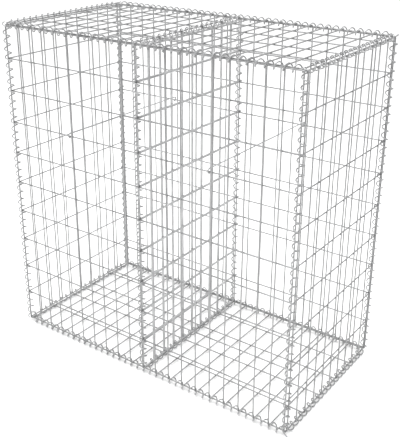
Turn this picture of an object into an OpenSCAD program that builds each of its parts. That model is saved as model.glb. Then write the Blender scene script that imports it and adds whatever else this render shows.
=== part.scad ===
// Gabion basket: an empty welded-mesh box of two cells, laced shut along
// every edge with spiral binders and braced by a hooked tie in each cell.
// Millimetres, X length, Y depth, Z up, origin on the ground under the
// middle of the basket.

/* [Basket] */
// Length of the front panel between its end wires
basket_l = 1000; // [400:50:2000]
// Depth of the end panels between their end wires
basket_d = 500; // [300:50:1000]
// Height of the upright panels between their top and bottom wires
basket_h = 1000; // [300:50:1500]

/* [Mesh] */
// Spacing of the close wires (upright on the sides, front to back on the lid)
mesh_close = 50; // [50:2:64]
// Spacing of the open wires (level on the sides, lengthways on the lid)
mesh_open = 100; // [70:5:150]
// Mesh wire diameter
wire_d = 4; // [3:0.25:4]
// How far two crossing wires sink into each other at a weld
weld_sink = 0.4; // [0.3:0.1:0.6]
// How far a wire's cut end goes past the middle of the edge wire it is welded to
wire_stub = 0.6; // [0.4:0.1:0.8]

/* [Spiral binders] */
// Spiral wire diameter
spiral_wire_d = 3.5; // [3:0.25:3.5]
// Clearance between a bound wire and the spiral round it
seat_gap = 0.35; // [0.3:0.05:0.45]

/* [Ties] */
// Tie wire diameter
tie_wire_d = 3.5; // [3:0.25:4]
// Height of a tie's middle above the level wires it is hooked on
tie_rise = 9; // [6:1:14]
// Level wire that the ties are hooked on, counted up from the bottom wire
tie_level = 7; // [1:1:9]
// Distance from the upright in the middle of a cell to the tie beside it
tie_side = 10; // [6:1:20]
// Clearance between a level wire and the hook under it
tie_gap = 0.25; // [0.2:0.05:0.4]
// Straight tail of a hook
tie_tail = 5; // [3:1:12]

/* [Hidden] */
// counts of spaces and their exact sizes; the middle upright of the long
// panels is where the partition is laced on, so n_x is even
n_x = 2 * round(basket_l / mesh_close / 2);
n_y_open = round(basket_d / mesh_open);
n_z_open = round(basket_h / mesh_open);
step_x = basket_l / n_x;
step_y_open = basket_d / n_y_open;
step_z = basket_h / n_z_open;
// close spaces in each open space of the end panels, a whole number, so that
// both kinds of wire keep in step with the spirals along Y
n_y_ratio = max(1, round(step_y_open / mesh_close));
n_y = n_y_open * n_y_ratio;
// turns of a spiral in each close space of the mesh, and in each space where
// a wire crosses it
turns_close = 2;
turns_y = n_y_ratio * turns_close;
turns_z = round(step_z * turns_close / mesh_close);
// a spiral is a chain of half rings tilted to a 3-4-5 slope: the ring
// radius is 5 u, the half width across the joins 4 u and the pitch 12 u
u_x = floor(1000 * step_x / turns_close / 12) / 1000;
u_y = floor(1000 * step_y_open / turns_y / 12) / 1000;
u_z = floor(1000 * step_z / turns_z / 12) / 1000;
u_min = min(u_x, u_y, u_z);
u_max = max(u_x, u_y, u_z);
// half rings of a spiral with its joins along the inward line, which stops
// half a turn short of the end wires; one with its joins across that line
// has one half ring less, and stops three quarters of a turn short
halves_x = 2 * n_x * turns_close - 2;
halves_y = 2 * n_y_open * turns_y - 2;
halves_z = 2 * n_z_open * turns_z - 2;
// half the distance between the two layers of wires of a panel
layer = (wire_d - weld_sink) / 2;
// room that a bound wire and the spiral wire take from the spiral's radius
room = spiral_wire_d / 2 + wire_d / 2 + seat_gap;
// corner spirals: distance of a bound wire from the axis, and its inset
corner_r = u_min * coil_r(45) - room;
inset = sqrt(corner_r * corner_r - layer * layer);
// on the end panels' top and bottom edges one bound wire is in an outer
// layer and one in an inner layer, so the line between them leans
lean = atan((inset - layer) / (inset + layer));
// partition spirals: their axis lies this far inside the panel's plane
mid_in = 5 * u_min - room - layer;
// the partition's edge wires stand against the inner wires of the panels
// round it, so they are this far inside the edge wires of the end panels
edge_in = layer + wire_d + seat_gap - inset;
// an octagonal bar of the same section area as the round wire
bar_d = wire_d * 1.054;
// planes of the panels: the corner spirals' axes lie on them
hl = basket_l / 2 + inset;
hd = basket_d / 2 + inset;
z_base = u_max * coil_reach(90 - lean) + spiral_wire_d / 2;
z_mid = z_base + inset + basket_h / 2;
z_lid = z_base + 2 * inset + basket_h;
// ties: a hook's radius, half the length of the straight rod, whose ends are
// over the level wires, and the rod's height and place along the basket
tie_r = (tie_rise + wire_d / 2 + tie_wire_d / 2 + tie_gap) / 2;
tie_half = round(100 * (hd - layer)) / 100;
tie_z = z_base + inset + tie_level * step_z + tie_rise;
tie_x = round(n_x / 4) * step_x;

// radius of a spiral seen along its axis, at an angle from its joins
function coil_r(angle) =
    1 / sqrt(pow(cos(angle) / 4, 2) + pow(sin(angle) / 5, 2));
// how far it reaches in a direction at an angle from its joins
function coil_reach(angle) =
    sqrt(pow(4 * cos(angle), 2) + pow(5 * sin(angle), 2));

zinc = [0.72, 0.73, 0.74];
zinc_dark = [0.62, 0.64, 0.66];

// one straight wire from the origin along +Z, flats square to X and Y
module bar(len) {
    rotate([0, 0, 22.5])
        cylinder(h = len, d = bar_d, $fn = 8);
}

// a lattice in the XY plane: wires along Y at the x of list xs in the layer
// z = +layer, wires along X at the y of list ys in the layer z = -layer
module lattice(xs, ys) {
    x0 = xs[0];
    x1 = xs[len(xs) - 1];
    y0 = ys[0];
    y1 = ys[len(ys) - 1];
    union() {
        for (x = xs)
            translate([x, y0 - wire_stub, layer])
                rotate([-90, 0, 0])
                    bar(y1 - y0 + 2 * wire_stub);
        for (y = ys)
            translate([x0 - wire_stub, y, -layer])
                rotate([0, 90, 0])
                    bar(x1 - x0 + 2 * wire_stub);
    }
}

// evenly spaced places from -span/2 to span/2
function places(span, n) = [for (i = [0 : n]) -span / 2 + span * i / n];
// the same, with the first and the last moved inward by d
function drawn_in(list, d) =
    [for (i = [0 : len(list) - 1])
        i == 0 ? list[0] + d : i == len(list) - 1 ? list[i] - d : list[i]];

// a left-handed spiral of half rings, centred on the origin along Z, its
// first join on +X
module spiral(u, halves) {
    tilt = atan(3 / 4);
    translate([0, 0, -3 * u * halves])
        union() {
            for (k = [0 : halves - 1])
                translate([0, 0, (2 * k + 1) * 3 * u])
                    rotate([0, k % 2 == 0 ? tilt : -tilt, 0])
                        rotate([0, 0, 180 * ((k + 1) % 2)])
                            rotate_extrude(angle = 180, $fn = 48)
                                translate([5 * u, 0])
                                    circle(d = spiral_wire_d, $fn = 48);
        }
}

// spirals along Z, X and Y; sx, sy, sz point into the basket
module spiral_z(x, y, sx, sy) {
    mid = sx == 0;
    translate([x, y, z_mid])
        rotate([0, 0, atan2(sy, sx) - (mid ? 90 : 0)])
            spiral(u_z, mid ? halves_z - 1 : halves_z);
}

module spiral_x(y, z, sy, sz) {
    translate([0, y, z])
        rotate([0, 90, 0])
            rotate([0, 0, atan2(sy, -sz) - 90])
                spiral(u_x, halves_x - 1);
}

module spiral_y(x, z, sx, sz) {
    mid = sx == 0;
    translate([x, 0, z])
        rotate([-90, 0, 0])
            rotate([0, 0, mid ? -90 - 90 * sz : atan2(-sz * sin(lean), sx * cos(lean))])
                spiral(u_y, mid ? halves_y - 1 : halves_y);
}

// half a ring, which ends where a tie's rod does and turns down round a wire
module hook() {
    translate([0, tie_half, -tie_r])
        rotate([0, -90, 0])
            rotate_extrude(angle = 180, $fn = 48)
                translate([tie_r, 0])
                    circle(d = tie_wire_d, $fn = 48);
    translate([0, tie_half - tie_tail, -2 * tie_r])
        rotate([-90, 0, 0])
            cylinder(h = tie_tail, d = tie_wire_d, $fn = 48);
}

// a rod along Y with a hook on each end
module tie(x) {
    translate([x, 0, tie_z])
        union() {
            translate([0, -tie_half, 0])
                rotate([-90, 0, 0])
                    cylinder(h = 2 * tie_half, d = tie_wire_d, $fn = 48);
            hook();
            rotate([0, 0, 180])
                hook();
        }
}

module side_panel(span, n) {
    lattice(places(span, n), places(basket_h, n_z_open));
}

module flat_panel() {
    lattice(places(basket_l, n_x), places(basket_d, n_y_open));
}

module front_panel() {
    color(zinc)
        translate([0, -hd, z_mid])
            rotate([90, 0, 0])
                side_panel(basket_l, n_x);
}

module back_panel() {
    color(zinc)
        translate([0, hd, z_mid])
            rotate([90, 0, 180])
                side_panel(basket_l, n_x);
}

module left_end_panel() {
    color(zinc)
        translate([-hl, 0, z_mid])
            rotate([90, 0, -90])
                side_panel(basket_d, n_y);
}

module right_end_panel() {
    color(zinc)
        translate([hl, 0, z_mid])
            rotate([90, 0, 90])
                side_panel(basket_d, n_y);
}

module base_panel() {
    color(zinc)
        translate([0, 0, z_base])
            rotate([180, 0, 0])
                flat_panel();
}

module lid_panel() {
    color(zinc)
        translate([0, 0, z_lid])
            flat_panel();
}

module partition_panel() {
    color(zinc)
        translate([0, 0, z_mid])
            rotate([90, 0, -90])
                lattice(drawn_in(places(basket_d, n_y), edge_in),
                    drawn_in(places(basket_h, n_z_open), edge_in));
}

module left_tie() {
    color(zinc_dark)
        tie(-tie_x - tie_side);
}

module right_tie() {
    color(zinc_dark)
        tie(tie_x - tie_side);
}

module front_left_spiral() {
    color(zinc_dark)
        spiral_z(-hl, -hd, 1, 1);
}

module front_right_spiral() {
    color(zinc_dark)
        spiral_z(hl, -hd, -1, 1);
}

module back_left_spiral() {
    color(zinc_dark)
        spiral_z(-hl, hd, 1, -1);
}

module back_right_spiral() {
    color(zinc_dark)
        spiral_z(hl, hd, -1, -1);
}

module partition_front_spiral() {
    color(zinc_dark)
        spiral_z(0, -hd + mid_in, 0, 1);
}

module partition_back_spiral() {
    color(zinc_dark)
        spiral_z(0, hd - mid_in, 0, -1);
}

module top_front_spiral() {
    color(zinc_dark)
        spiral_x(-hd, z_lid, 1, -1);
}

module top_back_spiral() {
    color(zinc_dark)
        spiral_x(hd, z_lid, -1, -1);
}

module top_left_spiral() {
    color(zinc_dark)
        spiral_y(-hl, z_lid, 1, -1);
}

module top_right_spiral() {
    color(zinc_dark)
        spiral_y(hl, z_lid, -1, -1);
}

module top_partition_spiral() {
    color(zinc_dark)
        spiral_y(0, z_lid - mid_in, 0, -1);
}

module bottom_front_spiral() {
    color(zinc_dark)
        spiral_x(-hd, z_base, 1, 1);
}

module bottom_back_spiral() {
    color(zinc_dark)
        spiral_x(hd, z_base, -1, 1);
}

module bottom_left_spiral() {
    color(zinc_dark)
        spiral_y(-hl, z_base, 1, 1);
}

module bottom_right_spiral() {
    color(zinc_dark)
        spiral_y(hl, z_base, -1, 1);
}

module bottom_partition_spiral() {
    color(zinc_dark)
        spiral_y(0, z_base + mid_in, 0, 1);
}

front_panel();
back_panel();
left_end_panel();
right_end_panel();
base_panel();
lid_panel();
partition_panel();
left_tie();
right_tie();
front_left_spiral();
front_right_spiral();
back_left_spiral();
back_right_spiral();
partition_front_spiral();
partition_back_spiral();
top_front_spiral();
top_back_spiral();
top_left_spiral();
top_right_spiral();
top_partition_spiral();
bottom_front_spiral();
bottom_back_spiral();
bottom_left_spiral();
bottom_right_spiral();
bottom_partition_spiral();
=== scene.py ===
"""Looks of an empty welded-mesh gabion basket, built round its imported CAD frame.

Metres, in the CAD frame: X length, Y depth, Z up, origin on the ground under the middle.
Every CAD node is replaced by one finer piece: a panel of round galvanised wires with cropped
ends and weld nuggets, a binder that is a true helix with cut ends, or a tie with bent hooks.
Two things differ from the CAD, to look like the photograph: the partition's inner wires have
second wires beside them, and the binders are moved by a few millimetres.
"""

import math

import bpy
import mathutils
import numpy as np
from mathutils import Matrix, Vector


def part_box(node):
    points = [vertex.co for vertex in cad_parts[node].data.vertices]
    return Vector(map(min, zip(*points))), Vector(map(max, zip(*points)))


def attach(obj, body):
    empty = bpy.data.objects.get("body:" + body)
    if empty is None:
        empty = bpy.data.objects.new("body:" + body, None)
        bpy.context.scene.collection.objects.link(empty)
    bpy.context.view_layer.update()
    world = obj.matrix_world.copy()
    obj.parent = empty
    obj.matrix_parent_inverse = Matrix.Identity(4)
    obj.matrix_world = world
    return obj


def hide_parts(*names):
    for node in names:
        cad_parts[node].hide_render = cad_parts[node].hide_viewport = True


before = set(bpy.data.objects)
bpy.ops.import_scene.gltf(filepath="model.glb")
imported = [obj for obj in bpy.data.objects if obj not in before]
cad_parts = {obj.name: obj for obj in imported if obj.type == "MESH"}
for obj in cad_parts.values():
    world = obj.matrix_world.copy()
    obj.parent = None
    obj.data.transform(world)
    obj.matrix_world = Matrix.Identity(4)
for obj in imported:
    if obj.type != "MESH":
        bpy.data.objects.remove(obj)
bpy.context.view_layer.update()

X, Y, Z = 0, 1, 2
rng = np.random.default_rng(7)

# ---------------------------------------------------------------- sizes, as in part.scad
LENGTH, DEPTH, HEIGHT = 1.0, 0.5, 1.0  # between the edge wires
OPEN = 0.1  # open spacing of the mesh
CLOSE = 0.05  # close spacing of the mesh
WIRE_R = 0.002  # mesh wire
BAR_HALF = 0.0019476  # half the width of the CAD's octagonal bar across its flats
LAYER = 0.0018  # from a panel's plane to the middle of either layer of its wires
STUB = 0.0006  # a cut end past the middle of its edge wire
PITCH = 0.025  # of a binder: two turns to each close space
SPIRAL_R = 0.00175  # binder wire
TIE_R = 0.00175  # tie wire
TIE_TAIL = 0.005  # straight tail of a tie's hook

# ---------------------------------------------------------------- sizes of the looks alone
TWIN_UPRIGHT = 0.0055  # from an inner upright of the partition back to the one beside it
TWIN_LEVEL = 0.0041  # from an inner level wire of the partition up to the one above it
NUGGET_WIDE, NUGGET_THICK = 0.00225, 0.0009  # radii of a weld, in its panel's plane and across
COIL = 0.0097  # mean radius of a binder, between the CAD spiral's two half widths
CORNER_IN = 0.0024  # a corner binder lies this far inside the CAD spiral, along both its sides
PARTITION_OUT = 0.0023  # a partition binder lies this much nearer to the panel it laces
RISE = 0.004  # how far the turns of an upright corner binder sit above the level wires
DRIFT = 0.0025  # how far the turns of a long binder sit to the right of the uprights
CUT_END = 0.75  # a binder's or tie's cropped end, as a share of its radius
TURN_POINTS = 26  # points in a turn of a binder
TAIL_TURN = math.radians(140)  # how far the dropped tail goes round its corner
TAIL_SPREAD = 0.55  # how much wider than the binder it ends
TAIL_CLEAR = 0.0016  # between its end and the ground


# ---------------------------------------------------------------- mesh building
class Net:
    """Collects swept wires and beads into one mesh."""

    def __init__(self):
        self.verts, self.faces, self.mats, self.count = [], [], [], 0

    def add(self, verts, faces, mat):
        self.verts.append(np.asarray(verts, float))
        self.faces += [[i + self.count for i in f] for f in faces]
        self.mats += [mat] * len(faces)
        self.count += len(verts)

    def wire(self, path, radii, sides, mat=0):
        """Sweeps a circle along a path, with closed ends."""
        path = np.asarray(path, float)
        n = len(path)
        radii = np.broadcast_to(radii, n)
        t = np.gradient(path, axis=0)
        t /= np.linalg.norm(t, axis=1)[:, None]
        slanting = [0.31, 0.52, 0.79]  # parallel to no wire of the basket
        side = np.cross(t[0], slanting)
        side /= np.linalg.norm(side)
        ring = np.linspace(0, 2 * math.pi, sides, endpoint=False)
        verts = np.empty((n, sides, 3))
        for i in range(n):
            side = side - t[i] * (side @ t[i])
            side /= np.linalg.norm(side)
            up = np.cross(t[i], side)
            circle = np.cos(ring)[:, None] * side + np.sin(ring)[:, None] * up
            verts[i] = path[i] + radii[i] * circle
        faces = []
        for i in range(n - 1):
            a, b = i * sides, (i + 1) * sides
            for j in range(sides):
                k = (j + 1) % sides
                faces.append([a + j, a + k, b + k, b + j])
        faces.append(list(range(sides))[::-1])
        faces.append([(n - 1) * sides + j for j in range(sides)])
        self.add(verts.reshape(-1, 3), faces, mat)

    def straight(self, a, b, r, mat, sides=12, pieces=24):
        """A straight wire whose cropped ends have a small chamfer all round."""
        a, b = np.asarray(a, float), np.asarray(b, float)
        long = np.linalg.norm(b - a)
        shoulder, full = 0.2 * r / long, 0.5 * r / long
        body = np.linspace(full, 1 - full, pieces)
        s = np.concatenate([[0, shoulder], body, [1 - shoulder, 1]])
        radii = np.full(len(s), r)
        radii[[0, -1]] = 0.72 * r
        radii[[1, -2]] = 0.9 * r
        self.wire(a + s[:, None] * (b - a), radii, sides, mat)

    def bead(self, centre, radii, mat, around=10, rows=5):
        """A weld nugget: a flattened, slightly uneven ball."""
        turn = rng.uniform(0, 2 * math.pi)
        jitter = rng.uniform(0.92, 1.1, 3)
        verts, faces = [[0, 0, 1]], []
        for i in range(1, rows):
            lat = math.pi * i / rows
            for j in range(around):
                lon = turn + 2 * math.pi * j / around
                level = math.sin(lat)
                verts.append([level * math.cos(lon), level * math.sin(lon), math.cos(lat)])
        verts.append([0, 0, -1])
        last = 1 + (rows - 2) * around
        for j in range(around):
            k = (j + 1) % around
            faces.append([0, 1 + j, 1 + k])
            for i in range(rows - 2):
                a, b = 1 + i * around, 1 + (i + 1) * around
                faces.append([a + j, b + j, b + k, a + k])
            faces.append([last + k, last + j, len(verts) - 1])
        self.add(np.array(verts) * np.asarray(radii) * jitter + centre, faces, mat)

    def make(self, name, materials, node):
        """Makes the mesh a piece that stands in for a CAD node."""
        mesh = bpy.data.meshes.new(name)
        mesh.from_pydata(np.concatenate(self.verts).tolist(), [], self.faces)
        for m in materials:
            mesh.materials.append(m)
        mesh.polygons.foreach_set("material_index", self.mats)
        mesh.polygons.foreach_set("use_smooth", [True] * len(self.faces))
        mesh.set_sharp_from_angle(angle=math.radians(50))
        mesh.update()
        obj = bpy.data.objects.new(name, mesh)
        bpy.context.scene.collection.objects.link(obj)
        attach(obj, "root")
        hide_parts(node)


# ---------------------------------------------------------------- materials
def zinc(name, tint, stretch, rough, dull):
    """Galvanised wire: dull zinc in soft streaks and mottles drawn out along the wire."""
    mat = bpy.data.materials.new(name)
    mat.use_nodes = True
    nt = mat.node_tree
    nt.nodes.clear()
    out = nt.nodes.new("ShaderNodeOutputMaterial")
    bsdf = nt.nodes.new("ShaderNodeBsdfPrincipled")
    nt.links.new(bsdf.outputs[0], out.inputs[0])
    coord = nt.nodes.new("ShaderNodeTexCoord")
    place = nt.nodes.new("ShaderNodeMapping")
    place.inputs["Scale"].default_value = stretch
    nt.links.new(coord.outputs["Object"], place.inputs["Vector"])

    def noise(scale, detail, source):
        n = nt.nodes.new("ShaderNodeTexNoise")
        n.inputs["Scale"].default_value = scale
        n.inputs["Detail"].default_value = detail
        nt.links.new(source, n.inputs["Vector"])
        return n.outputs["Fac"]

    def ramp(source, stops):
        r = nt.nodes.new("ShaderNodeValToRGB")
        while len(r.color_ramp.elements) < len(stops):
            r.color_ramp.elements.new(0.5)
        for e, (at, colour) in zip(r.color_ramp.elements, stops):
            e.position, e.color = at, (*colour, 1)
        nt.links.new(source, r.inputs[0])
        return r.outputs[0]

    def mix(fac, a, b, blend="MIX"):
        m = nt.nodes.new("ShaderNodeMix")
        m.data_type, m.blend_type = "RGBA", blend
        if isinstance(fac, float):
            m.inputs[0].default_value = fac
        else:
            nt.links.new(fac, m.inputs[0])
        for socket, value in ((6, a), (7, b)):
            if isinstance(value, tuple):
                m.inputs[socket].default_value = (*value, 1)
            else:
                nt.links.new(value, m.inputs[socket])
        return m.outputs[2]

    def grey(value):
        return (value, value, value)

    tint = np.array(tint)
    streaks = noise(160, 4, place.outputs[0])
    patches = noise(14, 3, coord.outputs["Object"])
    spangle = nt.nodes.new("ShaderNodeTexVoronoi")
    spangle.inputs["Scale"].default_value = 210
    nt.links.new(place.outputs[0], spangle.inputs["Vector"])
    streaky = [(0.3, tuple(tint * 0.72)), (0.5, tuple(tint)), (0.72, tuple(tint * 1.22))]
    base = ramp(streaks, streaky)
    white_rust = ramp(patches, [(0.5, grey(0)), (0.72, grey(dull))])
    colour = mix(white_rust, base, tuple(tint * 1.3))
    grains = ramp(spangle.outputs["Color"], [(0.0, grey(0.86)), (1.0, grey(1.1))])
    colour = mix(0.6, colour, grains, "MULTIPLY")
    nt.links.new(colour, bsdf.inputs["Base Color"])
    gloss = nt.nodes.new("ShaderNodeMapRange")
    gloss.inputs["From Min"].default_value = 0.25
    gloss.inputs["From Max"].default_value = 0.75
    gloss.inputs["To Min"].default_value = rough - 0.1
    gloss.inputs["To Max"].default_value = rough + 0.16
    nt.links.new(streaks, gloss.inputs["Value"])
    nt.links.new(gloss.outputs[0], bsdf.inputs["Roughness"])
    bsdf.inputs["Metallic"].default_value = 0.85
    fine = noise(900, 3, place.outputs[0])
    bump = nt.nodes.new("ShaderNodeBump")
    bump.inputs["Strength"].default_value = 0.35
    bump.inputs["Distance"].default_value = 0.0002
    nt.links.new(fine, bump.inputs["Height"])
    nt.links.new(bump.outputs[0], bsdf.inputs["Normal"])
    return mat


ALONG_X, ALONG_Y, ALONG_Z, ROUND = (0.12, 1, 1), (1, 0.12, 1), (1, 1, 0.12), (0.6, 0.6, 0.6)
MESH_TINT = (0.31, 0.312, 0.315)
# the partition's zinc is painted lighter than the outer mesh: painted light, standing in for
# the brighter light that falls on its wires
PARTITION_PAINTED_LIGHT_TINT = (0.5, 0.503, 0.507)
WELD_TINT = (0.24, 0.245, 0.25)
BINDER_TINT = (0.345, 0.348, 0.352)
TIE_TINT = (0.34, 0.345, 0.35)
zinc_x = zinc("zinc_wire_x", MESH_TINT, ALONG_X, 0.42, 0.5)
zinc_y = zinc("zinc_wire_y", MESH_TINT, ALONG_Y, 0.42, 0.5)
zinc_z = zinc("zinc_wire_z", MESH_TINT, ALONG_Z, 0.42, 0.5)
zinc_weld = zinc("zinc_weld", WELD_TINT, ROUND, 0.55, 0.2)
zinc_coil = zinc("zinc_binder", BINDER_TINT, ROUND, 0.38, 0.4)
zinc_tie = zinc("zinc_tie", TIE_TINT, ALONG_Y, 0.4, 0.4)
zinc_inner_painted_light_y = zinc("zinc_partition_painted_light_y", PARTITION_PAINTED_LIGHT_TINT, ALONG_Y, 0.42, 0.5)
zinc_inner_painted_light_z = zinc("zinc_partition_painted_light_z", PARTITION_PAINTED_LIGHT_TINT, ALONG_Z, 0.42, 0.5)
# the material of a wire along each axis: of the outer panels, and of the partition, whose zinc
# is painted lighter as painted light, as if lit from both sides
OUTER = {X: zinc_x, Y: zinc_y, Z: zinc_z}
INNER = {Y: zinc_inner_painted_light_y, Z: zinc_inner_painted_light_z}


# ---------------------------------------------------------------- mesh panels
def places(low, high, spacing):
    """Wires at an even spacing about the middle, with the edge wires at low and high."""
    n = max(1, round((high - low) / spacing))
    at = (low + high) / 2 + (np.arange(n + 1) - n / 2) * spacing
    at[0], at[-1] = low, high
    return at


def with_twins(at, offset):
    """The same places, with a second wire beside each one but the two edge wires."""
    return np.sort(np.concatenate([at, at[1:-1] + offset])) if offset else at


def panel(node, close_axis, open_axis, out, twins=(0, 0), along=OUTER):
    """A welded panel. Its close wires lie side by side along close_axis, in the outer layer,
    and its open wires along open_axis, in the inner one. out is +1 or -1 along the third
    axis, and twins are the offsets of second close and open wires, or 0 for none."""
    lo, hi = (np.array(v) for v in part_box(node))
    flat = X + Y + Z - close_axis - open_axis
    plane = (lo[flat] + hi[flat]) / 2
    low, high = lo + BAR_HALF, hi - BAR_HALF
    close = with_twins(places(low[close_axis], high[close_axis], CLOSE), twins[0])
    opened = with_twins(places(low[open_axis], high[open_axis], OPEN), twins[1])
    net = Net()

    def lay(at, across, run, ends, layer, mat):
        """Lays wires at places across one axis, running along another past its edge wires."""
        for c in at:
            a, b = np.zeros(3), np.zeros(3)
            a[across] = b[across] = c
            a[flat] = b[flat] = plane + layer
            a[run], b[run] = ends[0] - STUB, ends[-1] + STUB
            net.straight(a, b, WIRE_R, mat)

    lay(close, close_axis, open_axis, opened, out * LAYER, 0)
    lay(opened, open_axis, close_axis, close, -out * LAYER, 1)
    radii = np.full(3, NUGGET_WIDE)
    radii[flat] = NUGGET_THICK
    for c in close:
        for o in opened:
            centre = np.zeros(3)
            centre[close_axis], centre[open_axis], centre[flat] = c, o, plane
            net.bead(centre, radii, 2)
    materials = [along[open_axis], along[close_axis], zinc_weld]
    net.make(node + "_mesh", materials, node)


panel("front_panel", X, Z, -1)
panel("back_panel", X, Z, 1)
panel("left_end_panel", Y, Z, -1)
panel("right_end_panel", Y, Z, 1)
panel("base_panel", X, Y, -1)
panel("lid_panel", X, Y, 1)
panel("partition_panel", Y, Z, -1, (TWIN_UPRIGHT, TWIN_LEVEL), INNER)


# ---------------------------------------------------------------- spiral binders
def dropped_tail(start, out, side, angle):
    """A binder's low end, pulled down round the outside of its corner to lie near the ground.
    It ends where the helix starts: at start, and at that angle from the line outwards."""
    t = np.linspace(1, 0, 40)[:-1]
    turn = angle - TAIL_TURN * t
    reach = COIL * (1 + TAIL_SPREAD * t)
    fall = (start[Z] - SPIRAL_R - TAIL_CLEAR) * (1 - np.cos(math.pi * t)) / 2
    middle = start - COIL * (math.cos(angle) * out - math.sin(angle) * side)
    return (
        middle
        + (reach * np.cos(turn))[:, None] * out
        - (reach * np.sin(turn))[:, None] * side
        - fall[:, None] * np.array([0, 0, 1])
    )


def spiral(node, axis, inward, shift, span, cut, slip=0.0, tail=False):
    """A left-handed helix that turns its outward side to every crossing wire, or slips past
    it by slip. It starts cut[0] turns inside the span and stops cut[1] turns inside it."""
    lo, hi = (np.array(v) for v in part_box(node))
    inward = np.asarray(inward, float)
    mid = (lo + hi) / 2 + shift * inward
    along = np.zeros(3)
    along[axis] = 1
    out = -inward / np.linalg.norm(inward)
    side = np.cross(along, out)
    low, high = cut[0] * PITCH - span / 2, span / 2 - cut[1] * PITCH
    s = np.linspace(low, high, round((high - low) / PITCH * TURN_POINTS) + 1)
    angle = 2 * math.pi * (s - slip) / PITCH
    slow, slower = (rng.uniform(0, 6) for _ in range(2))
    wobble = 1 + 0.012 * np.sin(angle * 0.37 + slow) + 0.01 * np.sin(angle * 0.11 + slower)
    if tail:
        fade = np.linspace(0, 1, TURN_POINTS)
        wobble[:TURN_POINTS] = 1 + (wobble[:TURN_POINTS] - 1) * fade
    path = (
        mid
        + s[:, None] * along
        + COIL * (wobble * np.cos(angle))[:, None] * out
        - COIL * (wobble * np.sin(angle))[:, None] * side
    )
    if tail:
        path = np.concatenate([dropped_tail(path[0], out, side, angle[0]), path])
    radii = np.full(len(path), SPIRAL_R)
    radii[[0, -1]] = CUT_END * SPIRAL_R
    net = Net()
    net.wire(path, radii, 10)
    net.make(node + "_coil", [zinc_coil], node)


# the ends of the binders, in turns inside the edge wires: the upright corner ones go on a
# little past the top, and the tailed one starts higher up, above its tail
UPRIGHT_CUT, TAILED_CUT = (0, -0.35), (0.42, -0.35)
LONG_CUT, SHORT_CUT = (0.3, 0.35), (0.3, 0.3)
INNER_UPRIGHT_CUT, INNER_LEVEL_CUT = (0.5, 0.5), (0.75, 0.75)

for y, front_back in ((-1, "front"), (1, "back")):
    for x, left_right in ((-1, "left"), (1, "right")):
        tailed = front_back == "front" and left_right == "right"
        node, cut = f"{front_back}_{left_right}_spiral", TAILED_CUT if tailed else UPRIGHT_CUT
        spiral(node, Z, (-x, -y, 0), CORNER_IN, HEIGHT, cut, RISE, tailed)
    node = f"partition_{front_back}_spiral"
    spiral(node, Z, (0, -y, 0), -PARTITION_OUT, HEIGHT, INNER_UPRIGHT_CUT)
for z, bottom_top in ((-1, "bottom"), (1, "top")):
    for y, front_back in ((-1, "front"), (1, "back")):
        node = f"{bottom_top}_{front_back}_spiral"
        spiral(node, X, (0, -y, -z), CORNER_IN, LENGTH, LONG_CUT, DRIFT)
    for x, left_right in ((-1, "left"), (1, "right")):
        node = f"{bottom_top}_{left_right}_spiral"
        spiral(node, Y, (-x, 0, -z), CORNER_IN, DEPTH, SHORT_CUT)
    node = f"{bottom_top}_partition_spiral"
    spiral(node, Y, (0, 0, -z), -PARTITION_OUT, DEPTH, INNER_LEVEL_CUT)


# ---------------------------------------------------------------- ties
def tie(node):
    """A straight rod from the front to the back, with a hook and a short tail at each end."""
    lo, hi = (np.array(v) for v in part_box(node))
    x = (lo[X] + hi[X]) / 2
    top = hi[Z] - TIE_R
    bend = (hi[Z] - lo[Z] - 2 * TIE_R) / 2
    half = hi[Y] - TIE_R - bend
    a = np.linspace(0, math.pi, 17)
    y = half + bend * np.sin(a)
    z = top - bend + bend * np.cos(a)
    hook = np.stack([np.full_like(y, x), y, z], axis=1)
    bottom = top - 2 * bend
    spring = 0.0006  # how far the end of a tail has sprung up
    tail = np.array([[x, half - TIE_TAIL * t, bottom + spring * t * t] for t in (0.35, 0.7, 1)])
    end = np.concatenate([hook, tail])
    rod = np.array([[x, half * t, top] for t in np.linspace(-1, 1, 41)[1:-1]])
    start = end * [1, -1, 1]
    path = np.concatenate([start[::-1], rod, end])
    radii = np.full(len(path), TIE_R)
    radii[[0, -1]] = CUT_END * TIE_R
    net = Net()
    net.wire(path, radii, 12)
    net.make(node + "_rod", [zinc_tie], node)


tie("left_tie")
tie("right_tie")


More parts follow.
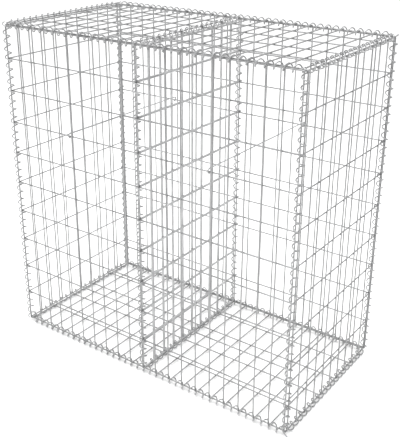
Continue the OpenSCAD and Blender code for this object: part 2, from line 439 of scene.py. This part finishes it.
# ---------------------------------------------------------------- floor, light and camera
def lay_floor(name, half, grey):
    """A wide pale floor."""
    mat = bpy.data.materials.new(name)
    mat.use_nodes = True
    bsdf = mat.node_tree.nodes["Principled BSDF"]
    bsdf.inputs["Base Color"].default_value = (grey, grey, grey, 1)
    bsdf.inputs["Roughness"].default_value = 0.9
    bsdf.inputs["Specular IOR Level"].default_value = 0.1
    mesh = bpy.data.meshes.new(name)
    corners = [(-half, -half, 0), (half, -half, 0), (half, half, 0), (-half, half, 0)]
    mesh.from_pydata(corners, [], [(0, 1, 2, 3)])
    mesh.materials.append(mat)
    floor = bpy.data.objects.new(name, mesh)
    bpy.context.scene.collection.objects.link(floor)


def sky(name, horizon, zenith):
    """White light from all round, a little stronger from above."""
    world = bpy.data.worlds.new(name)
    world.use_nodes = True
    nt = world.node_tree
    background = nt.nodes["Background"]
    background.inputs["Color"].default_value = (1, 1, 1, 1)
    heading = nt.nodes.new("ShaderNodeTexCoord")
    height = nt.nodes.new("ShaderNodeSeparateXYZ")
    glow = nt.nodes.new("ShaderNodeMapRange")
    glow.inputs["To Min"].default_value = horizon
    glow.inputs["To Max"].default_value = zenith
    nt.links.new(heading.outputs["Generated"], height.inputs[0])
    nt.links.new(height.outputs["Z"], glow.inputs["Value"])
    nt.links.new(glow.outputs[0], background.inputs["Strength"])
    bpy.context.scene.world = world


def softbox(name, location, target, size, energy):
    """A round area light that faces a target."""
    data = bpy.data.lights.new(name, "AREA")
    data.shape, data.size, data.energy = "DISK", size, energy
    obj = bpy.data.objects.new(name, data)
    obj.location = location
    aim = mathutils.Vector(target) - mathutils.Vector(location)
    obj.rotation_euler = aim.to_track_quat("-Z", "Y").to_euler()
    bpy.context.scene.collection.objects.link(obj)


def camera(name, location, down, round_z, lens, shift):
    """A camera that looks down and round Z by angles in radians, with its picture shifted."""
    data = bpy.data.cameras.new(name)
    data.lens = lens
    data.sensor_width = 36
    data.shift_x, data.shift_y = shift
    obj = bpy.data.objects.new(name, data)
    obj.location = location
    obj.rotation_euler = (math.pi / 2 - down, 0, round_z)
    bpy.context.scene.collection.objects.link(obj)
    bpy.context.scene.camera = obj


lay_floor("studio_floor", 40, 0.93)
sky("studio", 0.97, 1.2)
softbox("overhead", (0.5, -1.0, 5.0), (0, 0, 0.4), 5.0, 260)
camera("camera", (1.2956, -1.77148, 1.4115), 0.38375, 0.63603, 62.955, (0.02557, -0.06484))
bpy.context.scene.view_settings.view_transform = "Standard"
